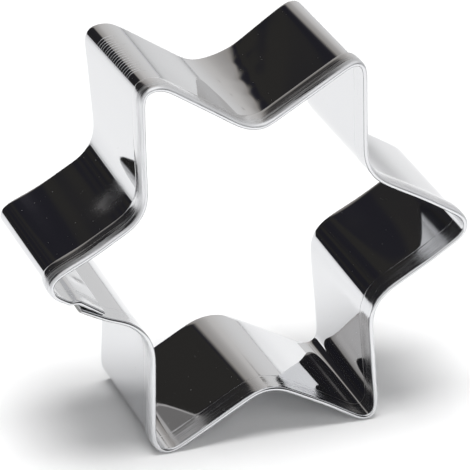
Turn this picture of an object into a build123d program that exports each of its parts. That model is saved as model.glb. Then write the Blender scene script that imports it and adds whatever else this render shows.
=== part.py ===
from build123d import *
import os
from math import asin, atan2, cos, degrees, radians, sin, tan

# Star cookie cutter: one strip of thin stainless sheet, bent on edge into a six-pointed star.
# The strip's front edge is folded back on the outside as a hem, which the hand presses on, and its
# back edge is left plain, to cut the dough. The two ends lap each other and are spot welded.
# The cutter stands on its two lower points, as it is set down to show its outline.
# X runs to the right, Y from the hem to the cutting edge, and Z up. The origin is on the surface
# that the cutter stands on, under the middle of its outline and of its depth.

# Strip of sheet
sheet = 0.3  # thickness of the stainless sheet
depth = 25.0  # from the nose of the hem to the cutting edge
hem_width = 3.9  # from the nose of the hem to the raw edge that is folded back
hem_gap = 0.1  # air that the fold leaves between the sheet and the hem

# Outline of the star, on the middle of the sheet
point_reach = 32.0  # from the centre to a point's corner, before it is bent round
valley_reach = 18.2  # from the centre to a valley's corner, before it is bent round
point_bend = 1.9  # mean bend radius at a point
valley_bend = 6.5  # mean bend radius at a valley

# The star is bent round a form by hand, so no two corners are quite alike. Corners are listed
# clockwise from the left point, as seen from the hem, with a point and then a valley in each pair.
corner_pairs = 6
point_reach_shares = (0.985, 1.05, 0.99, 0.985, 1.015, 1.02)
valley_reach_shares = (0.985, 1.01, 0.995, 0.995, 1.05, 0.975)
point_bend_shares = (0.9, 1.2, 0.9, 1.05, 0.75, 1.15)
valley_bend_shares = (1.0, 1.0, 1.0, 0.95, 1.0, 1.1)
point_turns = (-1.0, -0.5, 1.5, 0.0, 0.5, 1.0)  # degrees from an even star, anticlockwise
valley_turns = (1.0, 0.0, 3.0, -1.0, 1.5, -0.5)

# Lap of the two ends, on the lower side of the left point. The lap and its two steps lie in the
# middle of the straight length that the bends leave on that side.
lap_length = 4.1  # how far the two ends lie over each other
lap_gap = 0.05  # air between the two ends
lap_inward_share = 0.4  # part of the lap's thickness that steps the inner end inwards
inner_step = 1.2  # length of the step that takes the inner end inwards
inner_step_bend = 1.5
outer_step = 2.2  # length of the step that takes the outer end outwards
outer_step_bend = 4.0

# Spot welds through the lap
weld_diameter = 2.2
weld_dent = 0.05  # how deep the electrodes press a weld below the sheet on each side
plain_weld_shares = (-0.14, 0.2)  # places in the plain strip, from its middle, for a depth of one
hem_weld_setback = 2.0  # from the nose of the hem to the weld that goes through both hems
overrun = 1.0  # how far cuts run past the faces that they open

# Sizes that follow from those above
nose_radius = sheet + hem_gap / 2
hem_thickness = 2 * sheet + hem_gap
outer_side = hem_thickness - sheet / 2  # from the middle of the sheet to the outside of the hem
lap_spread = hem_thickness + lap_gap  # between the middles of the two lapped ends
inward = lap_spread * lap_inward_share
outward = lap_spread - inward
front = depth / 2
pair_angle = 360 / corner_pairs


def corner(reach, angle):
    """The corner at a distance from the star's centre, at an angle from the X axis towards Z."""
    return Vector(reach * cos(radians(angle)), 0, reach * sin(radians(angle)))


def bend_centre(before, at, after, bend):
    """The centre of the arc of radius bend that rounds the corner at, between its neighbours."""
    to_before = (before - at).normalized()
    to_after = (after - at).normalized()
    half_angle = radians(to_before.get_angle(to_after) / 2)
    return at + (to_before + to_after).normalized() * (bend / sin(half_angle))


def bend_run(before, at, after, bend):
    """The length of each side that the same arc takes, from the corner to where the arc ends."""
    half_angle = radians((before - at).get_angle(after - at) / 2)
    return bend / tan(half_angle)


# Corners of the outline, before the star is levelled on its two lower points
corners = []
bends = []
for pair in range(corner_pairs):
    point_angle = 180 - pair * pair_angle
    corners.append(corner(point_reach * point_reach_shares[pair], point_angle + point_turns[pair]))
    bends.append(point_bend * point_bend_shares[pair])
    valley_angle = point_angle - pair_angle / 2
    corners.append(corner(valley_reach * valley_reach_shares[pair], valley_angle + valley_turns[pair]))
    bends.append(valley_bend * valley_bend_shares[pair])

LEFT_POINT = 0
RIGHT_POINT = corner_pairs
LOWER_RIGHT_POINT = corner_pairs + 2
LOWER_LEFT_POINT = corner_pairs + 4
LAST_VALLEY = 2 * corner_pairs - 1


def rounded_point(place):
    """The bend's centre and its outside radius over the hem, for the corner at a place in the list."""
    before = corners[place - 1]
    after = corners[(place + 1) % len(corners)]
    return bend_centre(before, corners[place], after, bends[place]), bends[place] + outer_side


# The star turns about its centre until one line touches both lower points from below
left_foot, left_foot_radius = rounded_point(LOWER_LEFT_POINT)
right_foot, right_foot_radius = rounded_point(LOWER_RIGHT_POINT)
stride = right_foot - left_foot
slope = atan2(stride.Z, stride.X) - asin((right_foot_radius - left_foot_radius) / stride.length)
corners = [at.rotate(Axis.Y, degrees(slope)) for at in corners]

# Then it moves so that the feet are at height zero and the outline is centred from side to side
foot, foot_radius = rounded_point(LOWER_LEFT_POINT)
left_tip, left_radius = rounded_point(LEFT_POINT)
right_tip, right_radius = rounded_point(RIGHT_POINT)
middle = (left_tip.X - left_radius + right_tip.X + right_radius) / 2
corners = [at - Vector(middle, 0, foot.Z - foot_radius) for at in corners]

# The lap lies along the side that joins the last valley to the left point
side_start = corners[LEFT_POINT]
side_end = corners[LAST_VALLEY]
along = (side_end - side_start).normalized()
away = Vector(0, 1, 0).cross(along)  # out of the star, square to that side
side_length = (side_end - side_start).length
point_run = bend_run(side_end, side_start, corners[LEFT_POINT + 1], bends[LEFT_POINT])
valley_run = bend_run(corners[LAST_VALLEY - 1], side_end, side_start, bends[LAST_VALLEY])
straight_middle = (point_run + side_length - valley_run) / 2


def on_side(distance, lift, y=0):
    """The place at a distance from the left point's corner, lifted out of the star, and at a depth y."""
    return side_start + along * distance + away * lift + Vector(0, y, 0)


lap_start = straight_middle - (inner_step + lap_length + outer_step) / 2 + inner_step
lap_end = lap_start + lap_length
inner_end = on_side(lap_end, -inward)
inner_step_foot = on_side(lap_start, -inward)
inner_step_head = on_side(lap_start - inner_step, 0)
outer_step_head = on_side(lap_end + outer_step, 0)
outer_step_foot = on_side(lap_end, outward)
outer_end = on_side(lap_start, outward)
strip_corners = [inner_end, inner_step_foot, inner_step_head, *corners]
strip_corners += [outer_step_head, outer_step_foot, outer_end]
strip_bends = [inner_step_bend] * 2 + bends + [outer_step_bend] * 2

# The welds go through the middle of the lap: two through the plain strip, one through both hems
lap_middle = lap_start + lap_length / 2
weld_places = [depth * share for share in plain_weld_shares] + [hem_weld_setback - front]
weld_outer_faces = [outward + sheet / 2] * len(plain_weld_shares) + [outward + outer_side]

# Star band: the strip with its hem, swept along the outline from the inner end to the outer end
with BuildPart() as star_band:
    with BuildLine(Plane.XZ) as strip_line:
        FilletPolyline(*strip_corners, radius=strip_bends)
    strip_plane = Plane(inner_end, x_dir=away, z_dir=-along)
    with BuildSketch(strip_plane) as strip_section:
        with BuildLine():
            hem_root = front - nose_radius
            hem_end = front - hem_width
            Polyline((-sheet / 2, hem_root), (-sheet / 2, -front), (sheet / 2, -front), (sheet / 2, hem_root))
            fold_crown = (sheet / 2 + hem_gap / 2, hem_root + hem_gap / 2)
            ThreePointArc((sheet / 2, hem_root), fold_crown, (sheet / 2 + hem_gap, hem_root))
            Polyline(
                (sheet / 2 + hem_gap, hem_root),
                (sheet / 2 + hem_gap, hem_end),
                (outer_side, hem_end),
                (outer_side, hem_root),
            )
            ThreePointArc((outer_side, hem_root), (sheet / 2 + hem_gap / 2, front), (-sheet / 2, hem_root))
        make_face()
    sweep(path=strip_line.line)
    # Holes that the welds fill, through both ends of the strip
    for weld_y in weld_places:
        with BuildSketch(Plane(on_side(lap_middle, 0, weld_y), z_dir=away)):
            Circle(weld_diameter / 2)
        extrude(amount=lap_spread + overrun, both=True, mode=Mode.SUBTRACT)

# Spot welds: round buttons of melted sheet, pressed a little below the sheet on both sides
with BuildPart() as spot_welds:
    inner_face = -inward - sheet / 2
    for weld_y, outer_face in zip(weld_places, weld_outer_faces):
        weld_foot = on_side(lap_middle, inner_face + weld_dent, weld_y)
        with BuildSketch(Plane(weld_foot, z_dir=away)):
            Circle(weld_diameter / 2)
        extrude(amount=outer_face - inner_face - 2 * weld_dent)

star_band.part.label = "star_band"
spot_welds.part.label = "spot_welds"

os.makedirs("parts", exist_ok=True)
export_step(star_band.part, "parts/star_band.step")
export_step(spot_welds.part, "parts/spot_welds.step")
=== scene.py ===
"""Looks of the star cookie cutter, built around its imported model.

Lengths are in millimetres, and turned into metres where they reach a mesh, a lamp or the camera.
X runs to the right, Y from the hem to the cutting edge, and Z up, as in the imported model.
"""

import bpy
import numpy as np
from mathutils import Matrix, Vector


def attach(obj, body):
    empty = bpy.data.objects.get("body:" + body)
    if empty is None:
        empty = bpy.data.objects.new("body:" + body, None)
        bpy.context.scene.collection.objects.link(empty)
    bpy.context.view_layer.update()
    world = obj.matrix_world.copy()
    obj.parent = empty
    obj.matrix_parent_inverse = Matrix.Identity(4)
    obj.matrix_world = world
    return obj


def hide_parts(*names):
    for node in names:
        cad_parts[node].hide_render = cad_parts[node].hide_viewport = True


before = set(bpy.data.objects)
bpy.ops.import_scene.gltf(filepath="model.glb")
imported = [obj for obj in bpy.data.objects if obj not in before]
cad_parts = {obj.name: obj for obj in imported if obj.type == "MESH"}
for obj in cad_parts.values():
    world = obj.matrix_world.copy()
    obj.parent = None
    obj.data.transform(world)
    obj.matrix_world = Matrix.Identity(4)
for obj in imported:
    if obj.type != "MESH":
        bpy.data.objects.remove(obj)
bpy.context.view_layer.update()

MM = 0.001


# The strip: one length of mirror-polished stainless sheet, bent on edge round a form into a star.
# Its front edge is folded back on the outside as a hem. Its ends lap on the lower side of the left
# point, the inner end stepped inwards and the outer end lying over it.

sheet = 0.3
front = 12.5  # half the depth: the nose of the hem is at y = -front, the cutting edge at y = front
hem_width = 3.9
hem_gap = 0.1  # air that the fold leaves between the sheet and the hem
nose_slope = 0.7  # how far back the nose runs before the hem is flat
raw_edge = 0.06  # how far along the depth the hem's raw edge is rounded
lap_length = 3.4
lap_start = 6.92  # from the left point's corner to the outer end
inner_step = (3.9, 5.5)  # where the inner end steps inwards, measured from its cut
outer_step = (3.7, 8.2)  # where the outer end lifts off, measured from its cut
weld_heights = (-3.5, 5.0, -10.5)  # places of the spot welds along Y
weld_dent = 0.07
weld_radius = 1.1  # of the dent that a weld sits in

# Corners in X and Z, and the radii they are bent to, clockwise from the left point, along the nose
# of the hem and along the cutting edge. Bending by hand leaves the two a little unlike. The upper
# left point, the upper valley and the lower valley were each bent in two places, close together.
hem_corners = np.array([
    (-31.5, 27.8), (-16.0, 36.0), (-16.1, 54.5), (-13.4, 54.7), (-1.6, 46.7), (0.9, 46.7),
    (15.1, 54.9), (15.1, 37.4), (31.5, 27.6), (15.4, 17.9), (16.6, -0.72), (2.4, 7.6),
    (-0.6, 7.5), (-15.9, -1.1), (-15.4, 18.9),
])
hem_bends = np.array([1.4, 5.5, 1.0, 2.2, 5.9, 2.5, 0.9, 5.8, 1.7, 6.0, 1.3, 6.5, 4.4, 2.0, 7.0])
edge_corners = np.array([
    (-31.6, 28.1), (-15.5, 36.2), (-16.9, 54.5), (-13.2, 54.6), (-1.8, 47.0), (2.8, 47.2),
    (15.2, 55.6), (15.1, 37.2), (32.0, 27.2), (15.6, 18.2), (16.9, -1.05), (2.3, 7.2),
    (-1.0, 7.6), (-16.0, -0.9), (-15.1, 18.8),
])
edge_bends = np.array([1.4, 5.8, 1.5, 2.4, 2.7, 12.4, 1.7, 5.8, 1.9, 4.6, 1.6, 4.7, 7.0, 1.9, 6.8])


def unit(vectors):
    """Each vector divided by its own length."""
    return vectors / np.linalg.norm(vectors, axis=-1, keepdims=True)


def half_angles(corners):
    """Half the angle between the two sides that meet at each corner of a closed outline."""
    to_before = unit(np.roll(corners, 1, axis=0) - corners)
    to_after = unit(np.roll(corners, -1, axis=0) - corners)
    return np.arccos(np.clip(np.sum(to_before * to_after, axis=1), -1, 1)) / 2


def rounded_line(corners, radii, step):
    """A closed line at even steps, and the run from its start to each end of each arc and side. At
    each corner the line leaves a side at radius / tan(half the corner's angle), follows an arc of
    that radius, and joins the next side. It starts where the first corner's arc does."""
    to_before = unit(np.roll(corners, 1, axis=0) - corners)
    to_after = unit(np.roll(corners, -1, axis=0) - corners)
    half_angle = half_angles(corners)
    centres = corners + unit(to_before + to_after) * (radii / np.sin(half_angle))[:, None]
    setback = (radii / np.tan(half_angle))[:, None]
    first = (corners + to_before * setback - centres)[:, None]
    last = (corners + to_after * setback - centres)[:, None]
    sweep = (np.pi - 2 * half_angle)[:, None, None]
    share = np.linspace(0, 1, 81)[None, :, None]
    arcs = (np.sin(sweep * (1 - share)) * first + np.sin(sweep * share) * last) / np.sin(sweep)
    line = (centres[:, None] + arcs).reshape(-1, 2)
    line = np.concatenate([line, line[:1]])
    run = np.concatenate([[0], np.cumsum(np.linalg.norm(np.diff(line, axis=0), axis=1))])
    even = np.linspace(0, run[-1], int(run[-1] / step), endpoint=False)
    joints = np.append(run[:-1].reshape(len(corners), -1)[:, [0, -1]].ravel(), run[-1])
    return np.stack([np.interp(even, run, line[:, k]) for k in (0, 1)], axis=1), joints


def soften(closed, step, spread):
    """Each place of a closed line becomes the mean of its neighbours, weighted by a bell curve of
    that spread, so a bend starts and ends by degrees."""
    reach = int(4 * spread / step)
    longer = np.concatenate([closed[-reach:], closed, closed[:reach]])
    weights = np.exp(-0.5 * (np.arange(-reach, reach + 1) * step / spread) ** 2)
    weights /= weights.sum()
    return np.stack([np.convolve(longer[:, k], weights, "valid") for k in (0, 1)], axis=1)


def bell(distance, spread):
    """One at no distance, and falling away smoothly over about twice the spread."""
    return np.exp(-0.5 * (distance / spread) ** 2)


def step_up(value, start, end):
    """Nought before start, one after end, and a smooth rise between."""
    share = np.clip((value - start) / (end - start), 0, 1)
    return share * share * (3 - 2 * share)


# Both lines, and the leads: the runs along them that belong to one run on their mean, so that arc
# lies over arc and side over side
fine_step = 0.02
hem_line, hem_joints = rounded_line(hem_corners, hem_bends, fine_step)
edge_line, edge_joints = rounded_line(edge_corners, edge_bends, fine_step)
hem_line = soften(hem_line, fine_step, 1.0)
edge_line = soften(edge_line, fine_step, 1.0)
joints = (hem_joints + edge_joints) / 2
outline_length = joints[-1]
common = np.linspace(0, outline_length, int(outline_length / fine_step), endpoint=False)
stretches = np.array([hem_joints[-1], edge_joints[-1]]) / outline_length
leads = np.stack([np.interp(common, joints, hem_joints - joints * stretches[0]),
                  np.interp(common, joints, edge_joints - joints * stretches[1])], axis=1)
leads = soften(leads, fine_step, 2.0) + common[:, None] * stretches


def at_run(line, length, run):
    """Places on a closed line at runs along it."""
    places = np.arange(len(line)) * length / len(line)
    return np.stack([np.interp(run, places, line[:, k], period=length) for k in (0, 1)], axis=-1)


hem_matched = at_run(hem_line, hem_joints[-1], leads[:, 0])
edge_matched = at_run(edge_line, edge_joints[-1], leads[:, 1])

# The mean line's heading, in radians, and how much of it turns in a millimetre
bent = np.unwrap(np.arctan2(*np.gradient((hem_matched + edge_matched) / 2, axis=0).T))
turning = np.abs(np.gradient(bent, fine_step))
bend_middles = (joints[:-1:2] + joints[1::2]) / 2
upper_left_valley = bend_middles[1]
upper_left_point = bend_middles[2]

# Stations along the strip, from the inner end round the star to the outer end, as runs from the start
# of the left point's bend. They lie a flat's spacing apart, and closer where the sheet bends, at the
# inner end's step, and at the crease, which lies past the upper valley
flat_spacing = 0.8
station_turn = 0.10  # radians that a bend turns from one station to the next, at most
crease_middle = 56.8
corner_run = hem_bends[0] / np.tan(half_angles(hem_corners)[0])
inner_end = corner_run - lap_start - lap_length
outer_end = outline_length + corner_run - lap_start
fine_run = np.arange(inner_end, outer_end, fine_step)
density = 1 / flat_spacing + np.interp(fine_run, common, turning, period=outline_length) / station_turn
density += 5 * bell(fine_run - inner_end - 4.6, 0.8) + 9 * bell(fine_run - crease_middle, 1.0)
crowding = np.concatenate([[0], np.cumsum(density[1:] * fine_step)])
stations = np.interp(np.linspace(0, crowding[-1], int(crowding[-1])), crowding, fine_run)


def half_round(centre, radii, start, end, count):
    """Places round a centre, from one angle to another, in degrees from outwards towards the back.
    The two radii are the reach outwards and the reach along the depth."""
    angles = np.radians(np.linspace(start, end, count))
    lifts = centre[0] + radii[0] * np.cos(angles)
    return np.stack([lifts, centre[1] + radii[1] * np.sin(angles)], axis=1)


def straight(lift, places):
    """Places along the depth, all lifted alike from the middle of the sheet."""
    places = np.asarray(places, float)
    return np.stack([np.full(len(places), lift), places], axis=1)


# The strip's section: lift from the middle of the sheet, and place along the depth, going round from
# the cutting edge along the inside, round the nose, back over the hem, into the fold and out again
half = sheet / 2
hem_middle = sheet + hem_gap
nose_radius = half + hem_middle / 2
nose_root = front - nose_radius
hem_end = front - hem_width
inside_places = np.concatenate([
    np.linspace(front - half, -hem_end + 1, 25), np.linspace(-hem_end + 0.5, -hem_end - 0.5, 17),
    np.linspace(-hem_end - 1, -nose_root + 0.3, 7),
])
outside_places = np.concatenate([
    [-nose_root, -10.5, -9], np.linspace(-8.4, -6.2, 8), np.linspace(-5.9, front - half, 50),
])
section = np.concatenate([
    straight(-half, inside_places),
    half_round((hem_middle / 2, -nose_root), (nose_radius, nose_radius), 180, 270, 8),
    half_round((hem_middle / 2, nose_slope - front), (nose_radius, nose_slope), 270, 360, 12)[1:],
    straight(hem_middle + half, np.linspace(nose_slope - front + 0.2, -hem_end - raw_edge, 14)),
    half_round((hem_middle, -hem_end - raw_edge), (half, raw_edge), 0, 180, 7)[1:-1],
    straight(hem_middle - half, np.linspace(-hem_end - raw_edge, -nose_root, 5)),
    half_round((hem_middle / 2, -nose_root), (hem_gap / 2, hem_gap / 2), 360, 180, 5)[1:-1],
    straight(half, outside_places),
    half_round((0, front - half), (half, half), 0, 180, 7)[1:-1],
])
lift, depth = section.T
girth = np.concatenate([[0], np.cumsum(np.linalg.norm(np.diff(section, axis=0), axis=1))])
columns = np.arange(len(section))
on_inside = columns < len(inside_places)
on_hem = (lift > half + hem_gap / 2) & (depth < -hem_end + half)
on_outside = (np.abs(lift - half) < 1e-6) & (depth > -hem_end)

along = stations[:, None]
deep = depth[None, :]
from_inner_end = along - inner_end
from_outer_end = outer_end - along


def end_lift(from_end, at_cut, past_lap, step):
    """How far one end of the strip lies off the outline: a straight slope from its cut to where the
    lap is past, and a smooth step back to the outline."""
    slope = (past_lap - at_cut) / lap_length
    return (at_cut + slope * from_end) * (1 - step_up(from_end, *step))


# The lap: the inner end steps inwards and rises again towards its cut, and the outer end lifts off
shift = end_lift(from_inner_end, -0.20, -0.50, inner_step)
shift = shift + end_lift(from_outer_end, 0.50, 0.42, outer_step)


def ripple(run, y):
    """How far the hand-bent sheet lies off its true line: the sum of two long shallow sine waves
    along the run, which slip sideways along the depth."""
    return 0.016 * np.sin(run / 3.1 + 0.10 * y) + 0.007 * np.sin(run / 1.6 - 0.16 * y + 1.3)


# Pressing the hem flat leaves the strip leaning a little, and printed with the raw edge's line
hem_lean = 0.05
wave = ripple(along, deep)
wave += hem_lean * step_up(-deep, hem_end - 0.6, front)
print_height = 0.012 + 0.004 * np.sin(1.3 * along) + 0.003 * np.sin(3.7 * along + 2)
wave += print_height * bell(deep + hem_end + 0.05 * np.sin(along / 1.9), 0.07)

# The hem's outside is crowned, and falls off towards its nose and its raw edge. At both ends of the
# strip it was squeezed flatter
squeeze = 0.10 * (1 - step_up(from_inner_end, 0, 3.5)) + 0.08 * (1 - step_up(from_outer_end, 0, 1.2))
hem_place = (deep + front) / hem_width
hem_crown = 0.04 * np.sin(np.pi * np.clip(hem_place, 0, 1)) - 0.05 * step_up(hem_place, 0.82, 1)
hem_crown -= 0.035 * np.clip(1 - hem_place / 0.5, 0, 1) ** 2
hem_crown *= np.clip((lift - half - hem_gap / 2) / nose_radius, 0, 1)
wave += np.where(on_hem[None, :], hem_crown - squeeze, 0)

# The fold swells inwards just before the nose, less and less from the inside to the hem's outside
swelling = 0.06 * np.clip((-deep - 10.0) / 2.5, 0, 1) ** 2
wave -= swelling * (1 - np.clip((lift + half) / (2 * nose_radius), 0, 1))

# Sides that bow: the corner that a side starts from, how far its middle lies outwards, and how much
# of that is gone at the cutting edge. In turn: both sides of the right point, the left point's upper
# side, and the side from the lower right point to the lower valley. They bow as a squared half wave
bowed_sides = [(7, 0.13, 0), (8, 0.13, 0), (0, -0.20, 0), (10, -0.16, 1)]
for corner, height, fading in bowed_sides:
    start, end = joints[2 * corner + 1], joints[2 * corner + 2]
    bow = height * np.sin(np.pi * np.clip((along - start) / (end - start), 0, 1)) ** 2
    wave += bow * (1 - fading * (deep + front) / (2 * front))

# Past the upper valley the sheet is creased inwards, along a wavering line across its depth
crease_run = crease_middle - 0.7 + 1.2 * step_up(deep, 4, 11.5)
crease_run = crease_run + 0.34 * np.sin(1.25 * deep + 0.5) + 0.06 * np.sin(2.6 * deep + 2)
crease_depth = 0.07 + 0.06 * bell(deep - 2.5, 4)
from_crease = np.hypot(along - crease_run, 0.38)
wave -= crease_depth * np.exp(-from_crease / 1.2)


def dent(from_end, weld_y):
    """How deep a weld's round dent is, at distances from one end of the strip: all of its depth near
    the middle, and a smooth rise to nothing just past the weld's radius."""
    from_weld = np.hypot(from_end - lap_length / 2, deep - weld_y)
    return weld_dent * (1 - step_up(from_weld, 0.35 * weld_radius, 1.15 * weld_radius))


# Each weld pulls the two ends together
for weld_y in weld_heights:
    wave += dent(from_inner_end, weld_y) - dent(from_outer_end, weld_y)

rise = lift[None, :] + shift + wave


def on_strip(run, y, lifted):
    """The place at a run along the strip, a place along the depth, and a distance outwards from the
    middle of the sheet. Places on the two lines are joined by straight lines along the depth. The
    way outwards is square to the short step ahead along the run."""
    step = 0.05
    share = ((y + front) / (2 * front))[..., None]
    here = at_run(hem_matched, outline_length, run) * (1 - share)
    here = here + at_run(edge_matched, outline_length, run) * share
    ahead = at_run(hem_matched, outline_length, run + step) * (1 - share)
    ahead = ahead + at_run(edge_matched, outline_length, run + step) * share
    heading = unit(ahead - here)
    return here[..., 0] - heading[..., 1] * lifted, y, here[..., 1] + heading[..., 0] * lifted


strip_places = on_strip(along, np.broadcast_to(deep, rise.shape), rise)


def skin(name, places, run, girth, masks, material):
    """A closed surface from a grid of places. Rows are sections all round, joined end to end, and
    the first and last sections are closed by a flat end. Its map holds the run and the way round
    the section, in metres, and each mask is a number for each place."""
    x, y, z = places
    rows, columns = x.shape
    number = np.arange(rows * columns).reshape(rows, columns)
    following = np.roll(number, -1, axis=1)
    sides = np.stack([number[:-1], number[1:], following[1:], following[:-1]], axis=-1).reshape(-1, 4)
    ends = [number[0].tolist(), number[-1][::-1].tolist()]
    points = np.stack([x, y, z], axis=-1).reshape(-1, 3) * MM
    mesh = bpy.data.meshes.new(name)
    mesh.from_pydata(points.tolist(), [], sides.tolist() + ends)
    smooth = np.ones(len(mesh.polygons), bool)
    smooth[-2:] = False
    mesh.polygons.foreach_set("use_smooth", smooth)
    edges = np.zeros(len(mesh.edges) * 2, int)
    mesh.edges.foreach_get("vertices", edges)
    edges = edges.reshape(-1, 2)
    end_edges = (edges < columns).all(1) | (edges >= (rows - 1) * columns).all(1)
    mesh.attributes.new("sharp_edge", "BOOLEAN", "EDGE").data.foreach_set("value", end_edges)
    corners = np.zeros(len(mesh.loops), int)
    mesh.loops.foreach_get("vertex_index", corners)
    flat = np.stack(np.broadcast_arrays(run, girth), axis=-1).reshape(-1, 2) * MM
    mesh.uv_layers.new(name="strip_map").data.foreach_set("uv", flat[corners].astype(np.float32).ravel())
    for mask, values in masks.items():
        spread = np.broadcast_to(values, x.shape).astype(np.float32).ravel()
        mesh.attributes.new(mask, "FLOAT", "POINT").data.foreach_set("value", spread)
    mesh.materials.append(material)
    piece = bpy.data.objects.new(name, mesh)
    bpy.context.scene.collection.objects.link(piece)
    return piece


def set_sockets(node, values):
    """Values for a node's sockets, by name or number."""
    for socket, value in values.items():
        node.inputs[socket].default_value = value


def wire(node, sources):
    """Links from sources into a node's sockets, by name or number."""
    for socket, source in sources.items():
        node.id_data.links.new(source, node.inputs[socket])


def adder(tree):
    """A call that adds a node to a tree, with its settings, socket values and links."""

    def add(kind, settings=None, values=None, links=None):
        node = tree.nodes.new("ShaderNode" + kind)
        for key, value in (settings or {}).items():
            setattr(node, key, value)
        set_sockets(node, values or {})
        wire(node, links or {})
        return node

    return add


def new_material(name):
    """A new material, its Principled shader, and a call that adds nodes to it."""
    material = bpy.data.materials.new(name)
    material.use_nodes = True
    return material, material.node_tree.nodes["Principled BSDF"], adder(material.node_tree)


# Here and in later sections, the call named add belongs to the material at hand, and the short calls
# below add their nodes with it
steel, steel_shader, add = new_material("mirror_polished_steel")
strip_map = add("UVMap", {"uv_map": "strip_map"}).outputs["UV"]


def noise(scale, detail, seed=0.0):
    """Cloudy greys over the strip's map, with so many clouds to a metre along it and round it. Each
    seed moves the map, and so gives other clouds."""
    place = add("Mapping", values={"Scale": (*scale, 1), "Location": (seed, seed, 0)},
                links={"Vector": strip_map})
    clouds = add("TexNoise", {"noise_dimensions": "2D"}, {"Scale": 1, "Detail": detail},
                 {"Vector": place.outputs[0]})
    return clouds.outputs[0]


def mask(name):
    """One of the numbers that the mesh holds at each place."""
    return add("Attribute", {"attribute_name": name}).outputs["Fac"]


def between(source, start, end, low, high):
    """The source's values from start to end, turned into values from low to high and held there."""
    values = {"From Min": start, "From Max": end, "To Min": low, "To Max": high}
    return add("MapRange", values=values, links={"Value": source}).outputs[0]


def mixed(operation, first, second):
    """The sum or the product of two numbers, each a source or a value."""
    node = add("Math", {"operation": operation})
    for socket, number in enumerate((first, second)):
        if isinstance(number, float):
            set_sockets(node, {socket: number})
        else:
            wire(node, {socket: number})
    return node.outputs[0]


def bumped(source, height, normal=None):
    """The surface's normal, tilted as if it rose by a height where the source is one."""
    links = {"Height": source}
    if normal is not None:
        links["Normal"] = normal
    return add("Bump", values={"Strength": 1, "Distance": height * MM}, links=links).outputs[0]


# Where the sheet is dull: on the hem, in streaks that fade towards its raw edge, and on the inside
# by the nose and along the hem's print. A smudge lies on the outside before the upper left valley,
# and the hem is scuffed by the outer end
hem_dulling = step_up(-hem_place[0], -0.95, -0.55) + step_up(-hem_place[0], -0.60, -0.25)
inside_dulling = 0.6 * step_up(-depth, 8.4, 10.0) + 1.3 * bell(depth + hem_end, 0.09)
pressed = (np.where(on_hem, hem_dulling, 0) + np.where(on_inside, inside_dulling, 0))[None, :]
from_smudge = np.hypot(along - upper_left_valley + 2.6, deep + 2.4)
smudged = (1 - step_up(from_smudge, 0.6, 5.0)) * on_outside[None, :]
scuffed = np.where(on_hem[None, :], 1 - step_up(from_outer_end, 2.5, 5.5), 0)

# Slow ripple of the rolled sheet, the fine lines that polishing leaves along it, and coarser streaks
bump = bumped(noise((230, 170), 1), 0.004)
bump = bumped(noise((60, 4200), 3), 0.0001, bump)
bump = bumped(mixed("MULTIPLY", noise((130, 4500), 3, 3.0), mask("pressed")), 0.0065, bump)

# Roughness: the polish, then the streaks, the smudge, the scuff, and specks of dust
gloss = between(noise((90, 150), 4), 0.35, 0.75, 0.03, 0.06)
dull_streaks = between(noise((150, 3200), 4, 5.0), 0.34, 0.66, 0.08, 0.30)
smudge = between(noise((420, 500), 5, 9.0), 0.30, 0.70, 0.24, 0.35)
specks = between(noise((2400, 2400), 1, 7.0), 0.82, 0.87, 0.0, 0.4)
gloss = mixed("ADD", gloss, mixed("MULTIPLY", mask("pressed"), dull_streaks))
gloss = mixed("ADD", gloss, mixed("MULTIPLY", mask("smudged"), smudge))
gloss = mixed("ADD", gloss, mixed("MULTIPLY", mask("scuffed"), 0.25))
gloss = mixed("ADD", gloss, specks)

steel_colour = (0.700, 0.706, 0.722, 1)
dirt_colour = (0.36, 0.35, 0.33, 1)
dirt = mixed("MULTIPLY", mask("scuffed"), between(noise((1500, 2500), 3, 2.0), 0.3, 0.65, 0.1, 0.9))
colour = add("MixRGB", values={1: steel_colour, 2: dirt_colour}, links={0: dirt})
set_sockets(steel_shader, {"Metallic": 1, "Specular Tint": (0.92, 0.92, 0.92, 1)})
wire(steel_shader, {"Base Color": colour.outputs[0], "Roughness": gloss, "Normal": bump})

strip_masks = {"pressed": pressed, "smudged": smudged, "scuffed": scuffed}
strip = skin("strip", strip_places, along, girth[None, :], strip_masks, steel)
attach(strip, "root")
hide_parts("star_band")


# Ribs: fine ridges that the forming tool pinched up over the bend of the upper left point. They are
# part of the sheet, lie side by side across the bend, and fade out at both ends.

rib_pitch = 0.75
rib_count = 18
rib_height = 0.035
rib_width = 0.16
rib_foot = 0.02  # how far a rib reaches into the sheet
rib_bow = 0.12  # how far a rib's middle lies off the line between its ends
first_rib = 7.6  # place along the depth
chance = np.random.default_rng(5)


def rib(centre_y):
    """Places of one ridge: sections along the run, each a half wave that rises over the sheet and
    closes under it. The wave's height swells and falls as a half wave along the ridge."""
    start = upper_left_point - 0.7 + chance.uniform(-0.2, 0.2)
    length = chance.uniform(2.6, 3.6)
    share = np.linspace(0, 1, 40)[:, None]
    round_it = np.radians(np.arange(0, 360, 30))
    swell = np.sin(np.pi * np.clip(share, 0.01, 0.99)) ** 0.5
    y = centre_y + rib_bow * np.sin(np.pi * share)
    y = y + rib_width / 2 * np.cos(round_it) * (0.4 + 0.6 * swell)
    lifts = half + np.where(np.sin(round_it) > 0, rib_height, rib_foot) * np.sin(round_it) * swell
    run = np.broadcast_to(start + length * share, y.shape)
    return on_strip(run, y, lifts + ripple(run, y))


def joined(pieces, name):
    """One piece of several, under a new name."""
    with bpy.context.temp_override(active_object=pieces[0], selected_editable_objects=pieces):
        bpy.ops.object.join()
    pieces[0].name = name
    return pieces[0]


ribs = []
for number in range(rib_count):
    places = rib(first_rib - rib_pitch * number + chance.uniform(-0.08, 0.08))
    ribs.append(skin("rib", places, np.zeros(places[0].shape), 0.0, {}, steel))
forming_ribs = joined(ribs, "forming_ribs")
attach(forming_ribs, "root")


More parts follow.
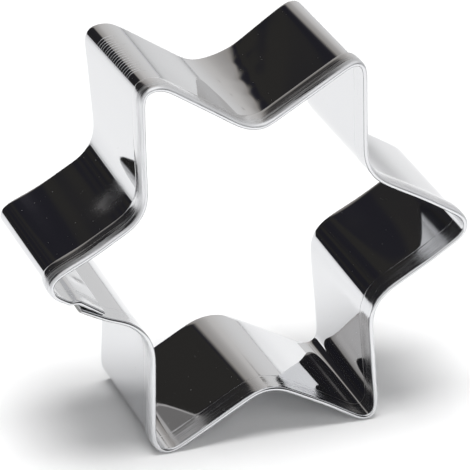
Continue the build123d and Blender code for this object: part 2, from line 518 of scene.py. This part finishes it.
# Spot welds: three round buttons of steel melted through the lap, each sunk in the dent that the
# electrodes press into both ends of the strip. A little duller than the polished sheet round them.

button_radius = 0.5 * weld_radius
button_crown = 0.015

weld_steel, weld_shader, add = new_material("weld_steel")
weld_place = add("TexCoord").outputs["Object"]
mottle = add("TexNoise", {}, {"Scale": 2600, "Detail": 3}, {"Vector": weld_place}).outputs[0]
weld_colour = add("ValToRGB", links={"Fac": mottle})
weld_colour.color_ramp.elements[0].color = (0.60, 0.59, 0.58, 1)
weld_colour.color_ramp.elements[1].color = (0.78, 0.78, 0.78, 1)
weld_gloss = between(mottle, 0, 1, 0.10, 0.30)
set_sockets(weld_shader, {"Metallic": 1})
wire(weld_shader, {"Base Color": weld_colour.outputs[0], "Roughness": weld_gloss,
                   "Normal": bumped(mottle, 0.002)})


def nearest_rise(run, y, side):
    """How far the strip's skin rises at the place of its grid that is nearest to a run and a depth."""
    return rise[np.abs(stations - run).argmin(), side[np.abs(depth[side] - y).argmin()]]


def button(centre_y, radius, crown):
    """Places of a round button through the lap, as rings by rings: a ring's radius grows from the
    inner face's middle to the rim, stays, and shrinks again on the outer face, which both bulge by
    crown times one less the radius squared."""
    outer_side = columns[on_hem] if centre_y < -hem_end else columns[on_outside]
    inner = nearest_rise(inner_end + lap_length / 2, centre_y, columns[on_inside])
    outer = nearest_rise(outer_end - lap_length / 2, centre_y, outer_side)
    inner_rings = np.linspace(0.02, 1, 9)
    rings = np.concatenate([inner_rings, inner_rings[::-1]])
    bulge = crown * (1 - inner_rings**2)
    lifts = np.concatenate([inner - bulge, outer + bulge[::-1]])
    turns = np.radians(np.arange(0, 360, 10))
    run = inner_end + lap_length / 2 + radius * rings[:, None] * np.cos(turns)
    y = centre_y + radius * rings[:, None] * np.sin(turns)
    return on_strip(run, y, np.broadcast_to(lifts[:, None], y.shape))


buttons = []
for weld_y in weld_heights:
    places = button(weld_y, button_radius, button_crown)
    buttons.append(skin("spot_weld", places, np.zeros(places[0].shape), 0.0, {}, weld_steel))
spot_welds = joined(buttons, "weld_buttons")
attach(spot_welds, "root")
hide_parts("spot_welds")


# Floor: the matt white sheet of paper that the cutter stands on, seen as a round plate. It takes the
# cutter's shadow, and the steel mirrors it.

floor_radius = 1000

paper, paper_shader, add = new_material("white_paper")
paper_place = add("TexCoord").outputs["Object"]
grain = add("TexNoise", {}, {"Scale": 900, "Detail": 4}, {"Vector": paper_place}).outputs[0]
paper_bump = add("Bump", values={"Strength": 0.1, "Distance": 0.02 * MM}, links={"Height": grain})
set_sockets(paper_shader, {"Base Color": (0.95, 0.95, 0.95, 1), "Roughness": 0.9, "Specular IOR Level": 0})
wire(paper_shader, {"Normal": paper_bump.outputs[0]})

floor_turns = np.radians(np.arange(0, 360, 3))
floor_places = np.stack([np.cos(floor_turns), np.sin(floor_turns), 0 * floor_turns], axis=1)
floor_mesh = bpy.data.meshes.new("floor")
floor_mesh.from_pydata((floor_places * floor_radius * MM).tolist(), [], [list(range(len(floor_turns)))])
floor_mesh.materials.append(paper)
floor = bpy.data.objects.new("floor", floor_mesh)
bpy.context.scene.collection.objects.link(floor)


# Lamps: a broad soft one overhead, and a weaker one low in front, which fills the shadow. They light
# the floor, and metal doesn't mirror them.


def soft_lamp(name, width, watts, place, tilt):
    """A round lamp at a place, turned by tilt about X from facing down."""
    lamp = bpy.data.lights.new(name, "AREA")
    lamp.shape = "DISK"
    lamp.size = width * MM
    lamp.energy = watts
    lamp_object = bpy.data.objects.new(name, lamp)
    lamp_object.location = Vector(place) * MM
    lamp_object.rotation_euler = (tilt, 0, 0)
    lamp_object.visible_glossy = False
    bpy.context.scene.collection.objects.link(lamp_object)


soft_lamp("overhead_lamp", 650, 8.55, (0, 0, 900), 0)
soft_lamp("front_lamp", 1000, 4.2, (0, -1100, 590), np.arctan2(1100, 590))


# Room: white to the eye, and an even weak grey to matt surfaces. Metal mirrors its walls: a dark
# curtain on two sides, and between them a wall that brightens from grey to white, under a ceiling.

world = bpy.data.worlds.new("studio")
bpy.context.scene.world = world
world.use_nodes = True
world.node_tree.nodes.clear()
add = adder(world.node_tree)


def ramp(source, stops):
    """Colours at places from nought to one, joined evenly, read at the source's value."""
    node = add("ValToRGB", links={"Fac": source})
    node.color_ramp.interpolation = "LINEAR"
    for place, colour in stops[1:-1]:
        node.color_ramp.elements.new(place).color = (*colour, 1)
    ends = (node.color_ramp.elements[0], node.color_ramp.elements[-1])
    for element, (place, colour) in zip(ends, (stops[0], stops[-1])):
        element.position, element.color = place, (*colour, 1)
    return node.outputs[0]


def eased(source, start, end):
    """Nought where the source is at start, one at end, and a smooth rise between."""
    return add("MapRange", {"interpolation_type": "SMOOTHSTEP"}, {"From Min": start, "From Max": end},
               {"Value": source}).outputs[0]


def laid_over(share, under, grey):
    """The colour below, replaced by a plain one where the share is one."""
    return add("MixRGB", values={2: (*grey, 1)}, links={0: share, 1: under}).outputs[0]


direction = add("TexCoord").outputs["Generated"]
parts = add("SeparateXYZ", links={"Vector": direction}).outputs
azimuth = add("Math", {"operation": "ARCTAN2"}, links={0: parts["X"], 1: parts["Y"]}).outputs[0]
turn = between(azimuth, -np.pi, np.pi, 0, 1)

# Going round from behind the camera: azimuth from +Y towards +X, in degrees, the grey there, and
# how warm it is, by the share that red gains and blue loses
wall_stops = [
    (-180, 0.62, 0), (-150, 0.70, 0), (-110, 0.80, 0), (-80, 0.70, 0), (-66, 0.30, 0), (-58, 0.028, 0),
    (-30, 0.025, 0), (-10, 0.029, 0), (-8, 0.072, 0.04), (-6, 0.25, 0.07), (-4.4, 0.35, 0.06),
    (0, 0.40, 0.04), (4, 0.45, 0.04), (8, 0.52, 0.036), (12, 0.61, 0.032), (16, 0.66, 0.03),
    (21, 0.71, 0.02), (30, 0.81, 0.005), (60, 0.85, 0), (100, 0.78, 0), (118, 0.30, 0),
    (124, 0.05, 0), (140, 0.03, 0), (160, 0.03, 0), (168, 0.25, 0), (180, 0.62, 0),
]
wall = ramp(turn, [((angle + 180) / 360, (grey * (1 + warm), grey, grey * (1 - warm)))
                   for angle, grey, warm in wall_stops])

# Folds of the dark curtain: patches from blue-black to brown, a few degrees wide
folds = add("TexNoise", {}, {"Scale": 16, "Detail": 1}, {"Vector": direction}).outputs[0]
fold_stops = [(0.0, (0.60, 0.58, 0.80)), (0.44, (0.68, 0.66, 0.84)), (0.56, (1.04, 0.99, 0.93)),
              (1.0, (1.12, 1.06, 0.97))]
in_dark = between(wall, 0.10, 0.04, 0, 1)
folded = add("MixRGB", {"blend_type": "MULTIPLY"}, links={0: in_dark, 1: wall, 2: ramp(folds, fold_stops)})

# A darker opening high in the wall to the right, the bright ceiling, and the ground past the floor
opening_way = Vector((0.306, 0.819, 0.485))
to_opening = add("VectorMath", {"operation": "DOT_PRODUCT"}, {1: opening_way}, {0: direction})
room = laid_over(eased(to_opening.outputs["Value"], 0.9973, 0.9987), folded.outputs[0], (0.27, 0.26, 0.25))
room = laid_over(eased(parts["Z"], 0.72, 0.93), room, (1.25, 1.25, 1.25))
room = laid_over(eased(parts["Z"], -0.005, -0.03), room, (0.70, 0.70, 0.71))

path = add("LightPath").outputs
for_metal = add("Background", values={"Strength": 1}, links={"Color": room}).outputs[0]
for_matt = add("Background", values={"Color": (0.21, 0.21, 0.21, 1)}).outputs[0]
for_eye = add("Background", values={"Color": (1, 1, 1, 1)}).outputs[0]
mirrored = add("MixShader", links={0: path["Is Glossy Ray"], 1: for_matt, 2: for_metal}).outputs[0]
seen = add("MixShader", links={0: path["Is Camera Ray"], 1: mirrored, 2: for_eye}).outputs[0]
add("OutputWorld", links={"Surface": seen})


# Camera: in front of the hem, to the left and above, with a long lens on a 36 mm wide sensor.

camera_place = Vector((-188.03, -572.91, 308.35))
camera_right = Vector((0.9473, -0.3198, -0.0169)).normalized()
camera_ahead = Vector((0.2828, 0.8601, -0.4246)).normalized()

camera = bpy.data.cameras.new("camera")
camera.sensor_width = 36
camera.lens = 367.66
camera.clip_start = 50 * MM
camera.clip_end = 20000 * MM
camera_object = bpy.data.objects.new("camera", camera)
bpy.context.scene.collection.objects.link(camera_object)
camera_up = camera_right.cross(camera_ahead)
turned = Matrix((camera_right, camera_up, -camera_ahead)).transposed().to_4x4()
camera_object.matrix_world = Matrix.Translation(camera_place * MM) @ turned
bpy.context.scene.camera = camera_object

bpy.context.scene.view_settings.view_transform = "Standard"
